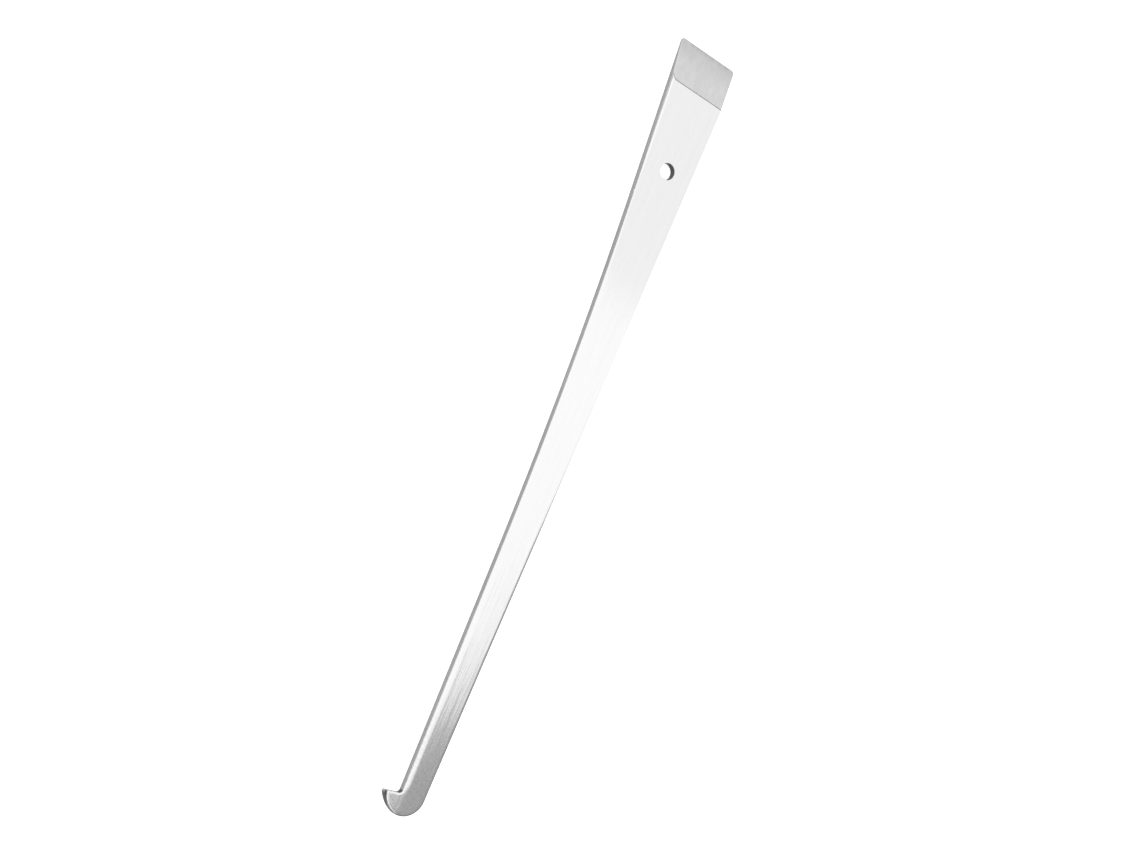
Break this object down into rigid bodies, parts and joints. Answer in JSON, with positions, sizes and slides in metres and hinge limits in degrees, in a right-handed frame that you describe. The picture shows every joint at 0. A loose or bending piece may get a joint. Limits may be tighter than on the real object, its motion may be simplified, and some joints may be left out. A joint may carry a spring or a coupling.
{
  "type": "hooked pry bar",
  "caption": "Flat stainless steel pry and scraper bar: a wide one-sided chisel end with a hanging hole, narrowing along one edge to a slim shank that ends in a side hook.",
  "frame": {"origin": "under the middle of the bounding box, on the flat back face", "axes": "+X along the bar towards the chisel edge, +Y towards the side that the blade flares to and the hook's lip points to, +Z out of the face that carries the grind"},
  "size_m": [0.305, 0.0264, 0.003],
  "materials": {
    "brushed_stainless": "fine satin brushed along the length, with a cross-ground chisel face"
  },
  "bodies": {
    "root": {"pry_bar": "brushed_stainless"}
  },
  "joints": []
}
